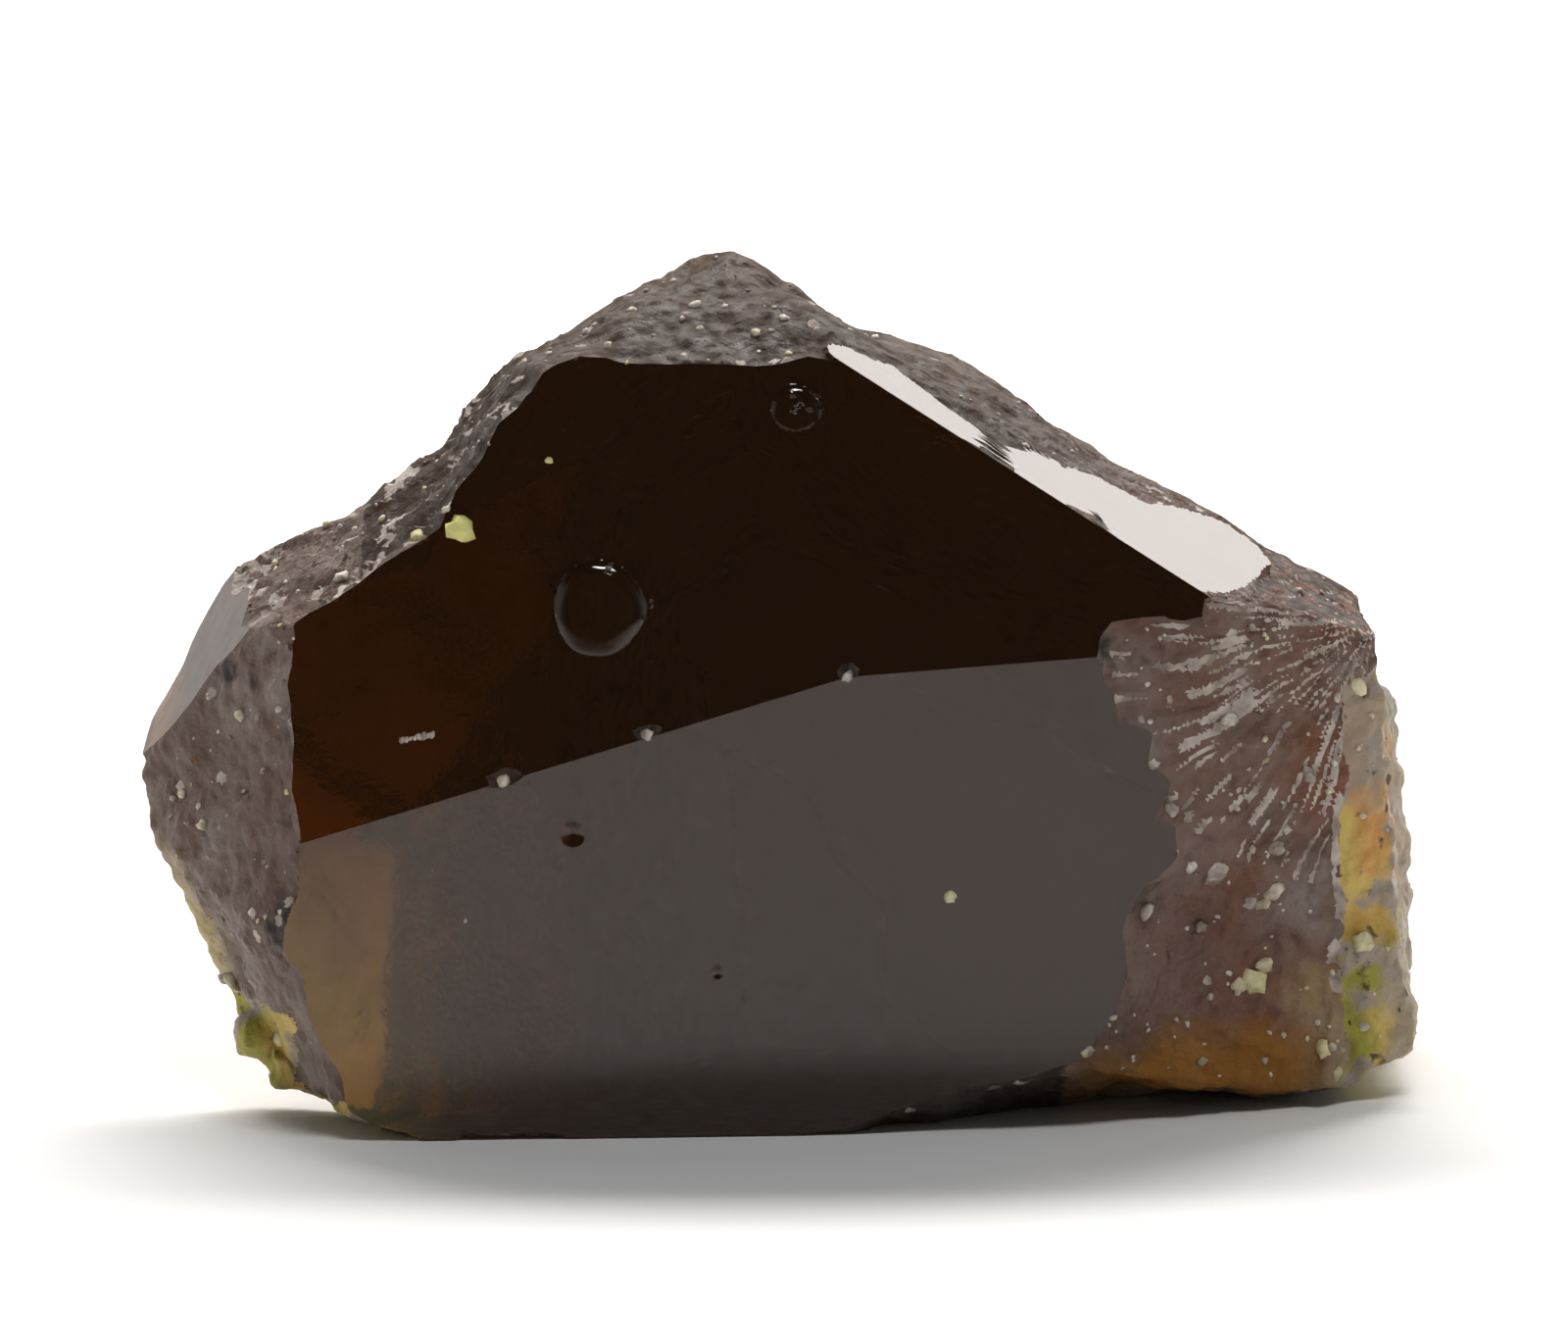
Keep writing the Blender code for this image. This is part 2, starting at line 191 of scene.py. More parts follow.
# Grains that sit on the stone: place, radius, flatness, yellowness
GRAINS = (
    ((-5.95, -5.28, 11.27), 0.30, 0.8, 1.0),
    ((-6.77, -4.94, 11.05), 0.17, 0.8, 0.5),
    ((-4.32, -4.98, 12.50), 0.09, 0.6, 0.8),
    ((-5.13, -6.43, 6.76), 0.17, 0.7, 0.1),
    ((-2.51, -6.26, 7.59), 0.13, 0.7, 0.0),
    ((1.20, -6.08, 8.66), 0.14, 0.7, 0.0),
    ((3.10, -6.01, 4.48), 0.12, 0.6, 0.5),
    ((-5.86, -6.55, 4.14), 0.05, 0.6, 0.0),
    ((8.02, -5.19, 4.76), 0.24, 0.7, 0.0),
    ((7.55, -5.52, 4.93), 0.13, 0.7, 0.0),
    ((6.74, -5.57, 4.10), 0.20, 0.7, 0.0),
    ((9.13, -4.65, 4.26), 0.26, 0.5, 0.1),
    ((8.90, -4.70, 4.05), 0.18, 0.6, 0.1),
    ((9.17, -4.73, 5.12), 0.18, 0.7, 0.0),
    ((8.78, -4.38, 2.52), 0.28, 0.6, 0.5),
    ((8.50, -4.49, 2.45), 0.16, 0.7, 0.3),
    ((8.96, -4.33, 2.79), 0.17, 0.6, 0.3),
    ((8.27, -5.15, 7.63), 0.17, 0.7, 0.0),
    ((7.18, -5.71, 6.08), 0.14, 0.6, 0.0),
    ((7.76, -4.82, 3.65), 0.12, 0.6, 0.0),
    ((9.75, -4.48, 6.46), 0.17, 0.6, 0.0),
    ((10.07, -4.12, 1.14), 0.20, 0.7, 0.5),
    ((10.36, -3.83, 0.61), 0.16, 0.7, 0.4),
    ((10.67, -3.98, 8.03), 0.18, 0.6, 0.4),
    ((10.79, -4.05, 3.19), 0.22, 0.5, 0.4),
    ((-10.76, -4.33, 5.46), 0.17, 0.7, 0.2),
    ((-10.06, -4.75, 7.64), 0.13, 0.7, 0.2),
    ((-11.20, -3.64, 5.90), 0.12, 0.7, 0.2),
    ((-8.14, -4.63, 10.21), 0.16, 0.5, 0.1),
    ((-10.22, -3.79, 2.38), 0.22, 0.6, 0.3),
    ((-9.37, -4.74, 1.48), 0.20, 0.6, 0.4),
    ((-2.80, -2.45, 14.81), 0.12, 0.7, 0.2),
    ((-1.65, -2.36, 14.91), 0.13, 0.7, 0.1),
    ((0.02, -3.18, 14.82), 0.11, 0.7, 0.1),
)
# From this radius on, a grain has a finer mesh
LARGE_GRAIN = 0.1

# A scratch on the left dark face: its two ends, and the flat grains in a row that it is made of
SCRATCH = (Vector((-7.02, -6.27, 7.50)), Vector((-6.46, -6.25, 7.60)))
SCRATCH_GRAINS = 8
SCRATCH_RADII = (0.05, 0.09)
SCRATCH_FLATNESS = 0.3

# Loose crumbs: how many, the smallest radius, how much larger the largest is, how flat they are,
# and how yellow the yellowest is. The powers make large and yellow ones rare.
CRUMBS = 380
CRUMB_SEED = 11
CRUMB_RADIUS = 0.035
CRUMB_GROWTH = 0.075
CRUMB_RARITY = 2.5
CRUMB_FLATNESS = (0.5, 0.9)
CRUMB_YELLOW = 0.7
YELLOW_RARITY = 6.0
# How thickly the crumbs lie on the rind and on each kind of broken surface
RIND_CRUMBS = 0.6
HACKLE_CRUMBS = 1.6
SUGARY_CRUMBS = 0.7
SHOULDER_CRUMBS = 0.8
SLOPE_CRUMBS = 0.3

# Brightness of the wall behind, of the pale walls at the sides and of the dim room in front,
# beside paper white at 1
BACKDROP = 1.0
SIDES = 0.55
ROOM = 0.02
CONTRAST = 0.8
WALL_COLOUR = (1.0, 0.975, 0.955, 1.0)
SEEN_BACKDROP = (0.985, 0.985, 0.985, 1.0)
# Where each wall starts and is full, by direction, and where it fades and ends upwards
WALL_BEHIND = (0.0, 0.30)
WALL_BEHIND_TOP = (0.66, 0.84)
WALL_SIDE = (0.45, 0.80)
WALL_SIDE_TOP = (0.30, 0.60)

# Soft boxes over the stone: direction, distance in metres, size in metres, radiance, colour
LAMPS = {
    "key_box": ((0.0, 0.45, 0.89), 0.22, (0.24, 0.04), 17.0, (1.0, 0.97, 0.945)),
    "side_box": ((0.459, 0.624, 0.633), 0.26, (0.07, 0.07), 4.8, (1.0, 0.965, 0.94)),
    "front_box": ((0.12, -0.37, 0.92), 0.30, (0.12, 0.06), 13.0, (0.97, 0.985, 1.0)),
}

# The sheet: its colour, half its width in metres, and its gap below the stone
SHEET_COLOUR = (0.9, 0.9, 0.895, 1.0)
SHEET_ROUGHNESS = 0.9
SHEET_REACH = 1.2
SHEET_GAP = 0.03

# Camera, as the photograph was taken. The clipping is in metres.
ELEVATION = math.radians(12.0)
CAMERA_DISTANCE = 300.0
CAMERA_TARGET = Vector((0.021, -0.20, 7.57))
SENSOR_WIDTH = 36.0
LENS = 366.19
CLIPPING = (0.01, 10.0)


def fade(value, start, end):
    """0 before start, 1 after end, and a smooth rise between them."""
    share = min(1.0, max(0.0, (value - start) / (end - start)))
    return share * share * (3.0 - 2.0 * share)


def height_of_line(points, along):
    """Height of a line of points over a place along it."""
    for (start, low), (end, high) in zip(points, points[1:]):
        if along <= end:
            return low + (high - low) * max(0.0, (along - start) / (end - start))
    return points[-1][1]


def grains(point, size, height):
    """Rounded grains of one size, packed side by side."""
    return height * (0.5 - noise.voronoi(point / size)[0][0])


def flecks(point, spacing, size, share):
    """1 inside scattered flecks, which a share of the cells has, and 0 between them."""
    distances, centres = noise.voronoi(point / spacing)
    if 0.5 + noise.noise(centres[0] * 5.3) > share:
        return 0.0
    return fade(distances[0] * spacing, size * 1.3, size * 0.7)


def fan(point, pace, stretch, seed):
    """A pattern of lines that fan out from the right shoulder, and the reach from there."""
    reach = Vector((point.x - RIGHT_SHOULDER.x, point.z - RIGHT_SHOULDER.z))
    angle = math.atan2(reach.y, reach.x) + 0.08 * noise.noise(point * 0.6)
    return noise.noise(Vector((angle * pace, reach.length * stretch, seed))), reach.length


def sugary(point):
    """The fine sugar of the crown and the left side, with small pits."""
    pit = max(0.0, 0.33 - noise.voronoi(point * 1.2)[0][0])
    return (0.06 * noise.noise(point * 1.3) + grains(point, 0.42, 0.10)
            + grains(point, 0.21, 0.07) - 0.26 * pit)


def slope_streaks(point):
    """Fine streaks along the slope over the bevel."""
    along = Vector((point.x * 0.87 - point.z * 0.49, point.y, point.x * 0.49 + point.z * 0.87))
    stretched = Vector((along.x * 0.9, along.y * 3.6, along.z * 3.6))
    return (0.05 * noise.noise(stretched) + 0.035 * noise.noise(stretched * 2.3)
            + grains(point, 0.26, 0.05) - 0.03)


def hackle_lines(point):
    """Fine ridges that fan out from the right shoulder."""
    strength = 0.55 + 0.45 * noise.noise(point * 0.45 + Vector((5.0, 0.0, 0.0)))
    broad = fan(point, 13.0, 0.35, 2.0)[0]
    fine = fan(point, 34.0, 0.8, 9.0)[0]
    pit = max(0.0, 0.30 - noise.voronoi(point * 1.1)[0][0])
    return (strength * (0.07 * broad + 0.06 * fine) + grains(point, 0.40, 0.08)
            + grains(point, 0.22, 0.06) - 0.25 * pit)


def shoulder_steps(point):
    """Thin steps that run down the left shoulder."""
    across = point.y * 1.5 + point.z * 2.2 + 0.9 * noise.noise(point * 0.8)
    step = across - math.floor(across)
    return 0.10 * step - 0.05 + grains(point, 0.42, 0.09) + grains(point, 0.2, 0.05)


def rind_knobs(point):
    """Rounded knobs of the rind."""
    return grains(point, 0.70, 0.17) + grains(point, 0.30, 0.10)


def shell_ripples(point):
    """Faint ripples over the smoother breaks at the back."""
    return 0.03 * noise.noise(point * 1.1) + 0.015 * noise.noise(point * 2.7) + grains(point, 0.6, 0.02)


def on_rind(point):
    """How far a point lies in the rind, at the right end and on the lower left edge."""
    wander = 0.22 * noise.noise(point * 0.9) + 0.10 * noise.noise(point * 2.6)
    right, knobs, toe = (fade(point.x + wander, *along) * fade(point.z + wander, *height)
                         for along, height in (RIND_RIGHT, RIND_KNOBS, RIND_TOE))
    return max(right, knobs, toe * fade(noise.noise(point * 1.3), -0.10, 0.05))


def zones(point, facing):
    """How much each kind of broken surface counts at a point."""
    rind = on_rind(point)
    back = fade(facing.y, *BACK_FACING) * (1.0 - rind)
    hackle = fade(point.x, *HACKLE_ALONG) * fade(facing.y, *HACKLE_FACING) * (1.0 - rind)
    shoulder = (fade(point.x, *SHOULDER_ALONG) * fade(facing.z, *SHOULDER_FACING)
                * (1.0 - back) * (1.0 - rind))
    slope = (fade(point.x, *SLOPE_ALONG) * fade(facing.z, *SLOPE_FACING)
             * (1.0 - back) * (1.0 - hackle) * (1.0 - rind))
    rest = max(0.0, 1.0 - rind - back - hackle - shoulder - slope)
    return {rind_knobs: rind, shell_ripples: back, hackle_lines: hackle,
            shoulder_steps: shoulder, slope_streaks: slope, sugary: rest}


def relief(point, facing):
    """Height of the fine relief at a point of the broken surface."""
    return sum(share * kind(point) for kind, share in zones(point, facing).items() if share > 0.0)


def crust_and_glint_share(point, facing):
    """How far a point of the broken surface is crushed to an opaque, whitish crust, and where that crust
    paints highlight streaks fanning from the right shoulder.
    """
    share = zones(point, facing)
    ragged = 0.12 * noise.noise(point * 6.0)
    # Streaks fanning from the right shoulder: painted highlights of the hackle steps
    line, reach = fan(point, 17.0, 0.45, 4.0)
    streak = fade(line + ragged, 0.20, 0.32) * fade(reach, *BROAD_GLINT_STREAKS)
    line, reach = fan(point, 38.0, 0.9, 7.0)
    fine = fade(line + ragged, 0.24, 0.34) * fade(reach, *FINE_GLINT_STREAKS)
    edge = (fade(abs(point.x - CRUSHED_EDGE + 0.20 * noise.noise(point * 0.9)), 0.15, 0.07)
            * fade(point.z, *CRUSHED_TOP) * fade(point.z, *CRUSHED_FOOT)
            * fade(noise.noise(point * 2.2), -0.3, -0.1))
    light = share[hackle_lines] * max(streak, fine, 1.4 * edge, flecks(point, 0.80, 0.13, 0.45))
    light += share[shoulder_steps] * max(fade(noise.noise(point * 1.6) + ragged, 0.20, 0.30),
                                         flecks(point, 0.7, 0.13, 0.4))
    light += share[sugary] * flecks(point, 0.62, 0.12, 0.40)
    light += share[slope_streaks] * flecks(point, 0.9, 0.10, 0.3)
    return light


def on_plane(vert, face_name):
    """Whether a vertex lies on the plane of a smooth face."""
    place, facing, _ = SMOOTH_FACES[face_name]
    return abs((vert.co / MM - Vector(place)).dot(Vector(facing).normalized())) < ON_FACE


def bevel_axes():
    """Directions along the bevel's lower edge, up across the bevel, and out of it."""
    out = Vector(SMOOTH_FACES["bevel"][1]).normalized()
    along = Vector(SMOOTH_FACES["dark_right"][1]).cross(out).normalized()
    if along.x < 0.0:
        along.negate()
    across = along.cross(out)
    if across.z < 0.0:
        across.negate()
    return along, across, out


def in_stripe(point, axes):
    """Whether a point belongs to the polished stripe on the bevel."""
    along, across, height = ((point - STRIPE_START).dot(axis) for axis in axes)
    inside = STRIPE_TOP[0][0] < along < STRIPE_TOP[-1][0]
    if not inside or across < -0.01 or abs(height) > STRIPE_REACH:
        return False
    across += STRIPE_WAVER * noise.noise(point * 3.0)
    return height_of_line(STRIPE_FOOT, along) < across < height_of_line(STRIPE_TOP, along)


def mark_polished(bm):
    """Number the faces of the mesh that are part of each smooth face, from 1. The rest stay 0."""
    polish = bm.faces.layers.int.new("polish")
    for number, name in enumerate(SMOOTH_FACES, 1):
        if name == "bevel":
            continue
        flat = {vert for vert in bm.verts if on_plane(vert, name)}
        for face in bm.faces:
            if all(vert in flat for vert in face.verts):
                face[polish] = number


def polish_stripe(bm):
    """Press the points of the stripe flat on to the bevel, and number its faces."""
    axes = bevel_axes()
    flat = {vert for vert in bm.verts if in_stripe(vert.co / MM, axes)}
    for vert in flat:
        vert.co -= axes[2] * (vert.co / MM - STRIPE_START).dot(axes[2]) * MM
    polish = bm.faces.layers.int["polish"]
    number = list(SMOOTH_FACES).index("bevel") + 1
    for face in bm.faces:
        if not face[polish] and all(vert in flat for vert in face.verts):
            face[polish] = number


def polished_faces(bm):
    """The faces that are part of a smooth face."""
    polish = bm.faces.layers.int["polish"]
    return {face for face in bm.faces if face[polish]}


def refine_spot(bm, centre, reach):
    """Divide the smooth faces around a spot until they can hold its shape."""
    for _ in range(SPOT_ROUNDS):
        near = [face for face in polished_faces(bm)
                if (closest_point_on_tri(centre, *(vert.co for vert in face.verts)) - centre).length < reach]
        coarse = {edge for face in near for edge in face.edges if edge.calc_length() > SPOT_EDGE * MM}
        if not coarse:
            break
        bmesh.ops.subdivide_edges(bm, edges=list(coarse), cuts=1)
        bmesh.ops.triangulate(bm, faces=[face for face in bm.faces if len(face.verts) > 3])


def blister(share, up):
    """A dome that is steep at its upper rim and leans down to nothing at its lower one."""
    return max(0.0, 1.0 - share ** 4.0) ** 0.7 * (0.58 + 0.42 * up)


def dent(share, _):
    """A soft hollow."""
    return -max(0.0, 1.0 - share * share) ** 2.0


def swell(bm, place, face_name, radius, height, form):
    """Raise a blister on a smooth face, or press in a dent."""
    centre = Vector(place) * MM
    facing = Vector(SMOOTH_FACES[face_name][1]).normalized()
    number = list(SMOOTH_FACES).index(face_name) + 1
    polish = bm.faces.layers.int["polish"]
    refine_spot(bm, centre, radius * MM * 1.25)
    inner = [face for face in polished_faces(bm)
             if face[polish] == number and (face.calc_center_median() - centre).length < radius * MM * 1.2]
    for vert in {vert for face in inner for vert in face.verts}:
        away = vert.co - centre
        away -= facing * away.dot(facing)
        share = away.length / (radius * MM) * (1.0 + 0.16 * noise.noise(vert.co / MM * 1.2))
        vert.co += facing * (height * MM * form(min(1.0, share), away.z / (radius * MM)))
    for face in inner:
        face.smooth = True


def wanted_edge(face, axes):
    """How long the edges of a broken face may be, in metres."""
    middle = face.calc_center_median() / MM
    along, across, height = ((middle - STRIPE_START).dot(axis) for axis in axes)
    if (STRIPE_ALONG[0] < along < STRIPE_ALONG[1] and STRIPE_ACROSS[0] < across < STRIPE_ACROSS[1]
            and abs(height) < STRIPE_DEPTH):
        return STRIPE_EDGE * MM
    if face.normal.y > 0.25 and face.normal.z < 0.6 or face.normal.z < -0.6:
        return BACK_EDGE * MM
    return SHOWN_EDGE * MM


def refine(bm):
    """Divide the broken surface until it can hold the fine relief."""
    axes = bevel_axes()
    for _ in range(REFINE_ROUNDS):
        polished = polished_faces(bm)
        coarse = set()
        for face in bm.faces:
            if face not in polished:
                limit = wanted_edge(face, axes)
                coarse.update(edge for edge in face.edges if edge.calc_length() > limit)
        bmesh.ops.subdivide_edges(bm, edges=list(coarse), cuts=1, use_grid_fill=True)
        bmesh.ops.triangulate(bm, faces=[face for face in bm.faces if len(face.verts) > 3])
        bm.normal_update()


def soften(bm, broken_verts):
    """Round off the facets of the broken surface."""
    for _ in range(SOFTEN_ROUNDS):
        bmesh.ops.smooth_vert(bm, verts=broken_verts, factor=0.5, use_axis_x=True,
                              use_axis_y=True, use_axis_z=True)
    bm.normal_update()


def carve_relief(bm, broken_verts):
    """Give the broken surface its fine relief, and keep it above the ground."""
    moves = [(vert, relief(vert.co / MM, vert.normal)) for vert in broken_verts]
    for vert, height in moves:
        vert.co += vert.normal * (height * MM)
        vert.co.z = max(vert.co.z, 0.0)
    bm.normal_update()


def face_material(point, facing):
    """Which material a broken face has: glassy 0, rind 1 with its painted glow, crushed 2 with painted
    highlight streaks, or dull 3 with painted glows in places.
    """
    if on_rind(point) > 0.5:
        return 1
    if crust_and_glint_share(point, facing) > 0.5:
        return 2
    left = point.x < LEFT_BREAK and facing.x < -0.3 and facing.y < -0.15
    return 3 if left or zones(point, facing)[hackle_lines] > 0.5 else 0


def finish_surface(bm):
    """Mark the frost and where the olive glow is painted, sort the faces by material, and keep crystal edges
    sharp.
    """
    frost = bm.faces.layers.float.new("frost")
    olive = bm.verts.layers.float.new("olive")
    polish = bm.faces.layers.int["polish"]
    frosting = [1.0] + [values[2] for values in SMOOTH_FACES.values()]
    for face in bm.faces:
        face[frost] = frosting[face[polish]]
        if face[polish]:
            continue
        face.smooth = True
        if face.normal.y > 0.25:
            face[frost] = BACK_FROST
        face.material_index = face_material(face.calc_center_median() / MM, face.normal)
    # The olive mask marks where a glow of light through the thin lower left part is painted
    for vert in bm.verts:
        point = vert.co / MM
        vert[olive] = fade(point.x, *OLIVE_GLOW_ALONG) * fade(point.z, *OLIVE_GLOW_HEIGHT)
    for edge in bm.edges:
        sides = {face[polish] for face in edge.link_faces}
        edge.smooth = len(sides) == 1 and edge.calc_face_angle(0.0) < SHARP_ANGLE


def new_piece(name, bm, materials):
    """An object with its materials, made from a finished mesh."""
    mesh = bpy.data.meshes.new(name)
    bm.to_mesh(mesh)
    bm.free()
    for material in materials:
        mesh.materials.append(material)
    piece = bpy.data.objects.new(name, mesh)
    bpy.context.scene.collection.objects.link(piece)
    return piece


def shape_stone():
    """The stone with its polished faces, its spots and the relief of its breaks."""
    bm = bmesh.new()
    bm.from_mesh(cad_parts["garnet"].data)
    bmesh.ops.remove_doubles(bm, verts=bm.verts, dist=1e-7)
    bm.normal_update()
    mark_polished(bm)
    refine(bm)
    polish_stripe(bm)
    for place, face_name, radius, height in BLISTERS:
        swell(bm, place, face_name, radius, height, blister)
    for place, face_name, radius, depth in PITS:
        swell(bm, place, face_name, radius, depth, dent)
    polished = polished_faces(bm)
    broken_verts = [vert for vert in bm.verts
                    if not any(face in polished for face in vert.link_faces)]
    soften(bm, broken_verts)
    carve_relief(bm, broken_verts)
    finish_surface(bm)
    return bm


def add_grain(bm, surface, place, radius, flatness, yellowness, dice):
    """Sink one dented grain halfway into the stone's surface, where it is nearest to a place."""
    spot, facing, _, _ = surface.find_nearest(Vector(place) * MM)
    size = radius * MM
    made = bmesh.ops.create_icosphere(bm, subdivisions=2 if radius > LARGE_GRAIN else 1, radius=1.0)
    seat = facing.to_track_quat("Z", "Y").to_matrix()
    spin = Euler((0.0, 0.0, dice.uniform(0.0, math.tau))).to_matrix()
    shape = Matrix.Diagonal((size, size * dice.uniform(0.6, 1.0), size * flatness))
    for vert in made["verts"]:
        bulge = 1.0 + 0.55 * noise.noise(vert.co * 1.9 + Vector(place) * 7.0)
        vert.co = spot + seat @ (spin @ (shape @ (vert.co * bulge)))
        vert.co.z = max(vert.co.z, 0.0)
        vert[bm.verts.layers.float["yellowness"]] = yellowness


def crumb_weight(face, frost):
    """How many loose crumbs a face of the stone tends to hold."""
    middle = Vector(face.center) / MM
    if face.material_index == 1:
        return RIND_CRUMBS
    if face.normal.y > 0.2 or face.normal.z < -0.3 or frost < 1.0:
        return 0.0
    share = zones(middle, Vector(face.normal))
    return (HACKLE_CRUMBS * share[hackle_lines] + SUGARY_CRUMBS * share[sugary]
            + SHOULDER_CRUMBS * share[shoulder_steps] + SLOPE_CRUMBS * share[slope_streaks])


def shape_grains(stone):
    """The named grains, a scratch and the loose crumbs, all in one mesh."""
    surface = BVHTree.FromPolygons([vert.co for vert in stone.data.vertices],
                                   [tuple(face.vertices) for face in stone.data.polygons])
    dice = random.Random(CRUMB_SEED)
    bm = bmesh.new()
    bm.verts.layers.float.new("yellowness")
    for place, radius, flatness, yellowness in GRAINS:
        add_grain(bm, surface, place, radius, flatness, yellowness, dice)
    for step in range(SCRATCH_GRAINS):
        place = SCRATCH[0].lerp(SCRATCH[1], step / (SCRATCH_GRAINS - 1.0))
        add_grain(bm, surface, place, dice.uniform(*SCRATCH_RADII), SCRATCH_FLATNESS, 0.0, dice)
    faces = list(stone.data.polygons)
    frosts = stone.data.attributes["frost"].data
    weights = [crumb_weight(face, frosts[face.index].value) * face.area for face in faces]
    for face in dice.choices(faces, weights, k=CRUMBS):
        radius = CRUMB_RADIUS + CRUMB_GROWTH * dice.random() ** CRUMB_RARITY
        add_grain(bm, surface, Vector(face.center) / MM, radius, dice.uniform(*CRUMB_FLATNESS),
                  CRUMB_YELLOW * dice.random() ** YELLOW_RARITY, dice)
    for face in bm.faces:
        face.smooth = True
    return bm


class Tree:
    """Short calls for building a node tree. Noise scales are per metre."""

    def __init__(self, tree):
        self.tree = tree

    def node(self, kind, **settings):
        made = self.tree.nodes.new(kind)
        for name, value in settings.items():
            setattr(made, name, value)
        return made

    def link(self, source, target):
        self.tree.links.new(source, target)

    def attribute(self, name):
        return self.node("ShaderNodeAttribute", attribute_name=name).outputs["Fac"]

    def noise(self, place, scale, detail):
        made = self.node("ShaderNodeTexNoise")
        made.inputs["Scale"].default_value = scale
        made.inputs["Detail"].default_value = detail
        self.link(place, made.inputs["Vector"])
        return made.outputs["Fac"]

    def math(self, operation, *values):
        """Arithmetic on numbers or sockets."""
        made = self.node("ShaderNodeMath", operation=operation)
        for value, target in zip(values, made.inputs):
            if isinstance(value, bpy.types.NodeSocket):
                self.link(value, target)
            else:
                target.default_value = value
        return made.outputs["Value"]

    def product(self, first, second):
        return self.math("MULTIPLY", first, second)

    def swayed(self, value, place, reach):
        """A coordinate that wavers from place to place by up to half of reach."""
        sway = self.mottle(place, 700.0, 4.0, 0.3, 0.7, -0.5, 0.5)
        return self.math("ADD", value, self.product(sway, reach * MM))

    def mottle(self, place, scale, detail, start, end, low=0.0, high=1.0):
        """Patches of noise: low where the noise is under start, and high where it is over end."""
        return self.spread(self.noise(place, scale, detail), start, end, low, high)

    def across(self, value, region, high=1.0):
        """0 before a region in millimetres and high after it, for a coordinate in metres."""
        return self.spread(value, region[0] * MM, region[1] * MM, 0.0, high)

    def spread(self, value, start, end, low=0.0, high=1.0):
        """Map a value's range onto another."""
        made = self.node("ShaderNodeMapRange")
        for name, number in (("From Min", start), ("From Max", end), ("To Min", low), ("To Max", high)):
            made.inputs[name].default_value = number
        self.link(value, made.inputs["Value"])
        return made.outputs["Result"]

    def mix(self, share, first, second, kind="RGBA"):
        """Blend two colours or two values. Each is a number, a colour or a socket."""
        made = self.node("ShaderNodeMix", data_type=kind)
        sockets = [socket for socket in made.inputs if socket.type == kind.replace("FLOAT", "VALUE")]
        self.link(share, made.inputs["Factor"])
        for source, target in zip((first, second), sockets[-2:]):
            if isinstance(source, bpy.types.NodeSocket):
                self.link(source, target)
            else:
                target.default_value = source
        return [socket for socket in made.outputs if socket.type == kind.replace("FLOAT", "VALUE")][-1]

    def bump(self, height, distance, strength, shader):
        """Shade as if the height stood out by up to distance."""
        made = self.node("ShaderNodeBump")
        made.inputs["Distance"].default_value = distance * MM
        self.link(height, made.inputs["Height"])
        if isinstance(strength, bpy.types.NodeSocket):
            self.link(strength, made.inputs["Strength"])
        else:
            made.inputs["Strength"].default_value = strength
        self.link(made.outputs["Normal"], shader.inputs["Normal"])


def start_material(name):
    """A new material, its tree, its shader and the place on the piece."""
    material = bpy.data.materials.new(name)
    material.use_nodes = True
    tree = Tree(material.node_tree)
    shader = material.node_tree.nodes["Principled BSDF"]
    return material, tree, shader, tree.node("ShaderNodeTexCoord").outputs["Object"]


def glassy_garnet():
    """Clear brown garnet, polished on the crystal faces and frosted on the breaks."""
    material, tree, shader, place = start_material("brown_garnet_glassy")
    output = material.node_tree.nodes["Material Output"]
    shader.inputs["IOR"].default_value = GARNET_IOR
    shader.inputs["Transmission Weight"].default_value = CLEARNESS
    frost = tree.attribute("frost")

    patches = tree.mottle(place, 1500.0, 6.0, 0.36, 0.64)
    stain = tree.mottle(place, 260.0, 3.0, 0.40, 0.62)
    pale = tree.mix(stain, FROST_PALE, FROST_BROWN)
    # Painted olive glow of light through the thin lower left part, mixed into the body colour
    body = tree.mix(tree.attribute("olive"), BODY_COLOUR, OLIVE_GLOW)
    tree.link(tree.mix(frost, body, tree.mix(patches, FROST_BROWN, pale)), shader.inputs["Base Color"])

    smears = tree.mottle(place, 350.0, 3.0, 0.4, 0.7, 0.02, 0.06)
    grain = tree.mottle(place, 2600.0, 4.0, 0.35, 0.65, 0.45, 0.85)
    tree.link(tree.mix(frost, smears, grain, "FLOAT"), shader.inputs["Roughness"])
    tree.bump(tree.noise(place, 4200.0, 8.0), FROST_GRAIN, tree.spread(frost, 0.5, 1.0), shader)

    depth = tree.node("ShaderNodeVolumeAbsorption")
    depth.inputs["Color"].default_value = ABSORPTION_TINT
    depth.inputs["Density"].default_value = ABSORPTION
    tree.link(depth.outputs["Volume"], output.inputs["Volume"])
    return material


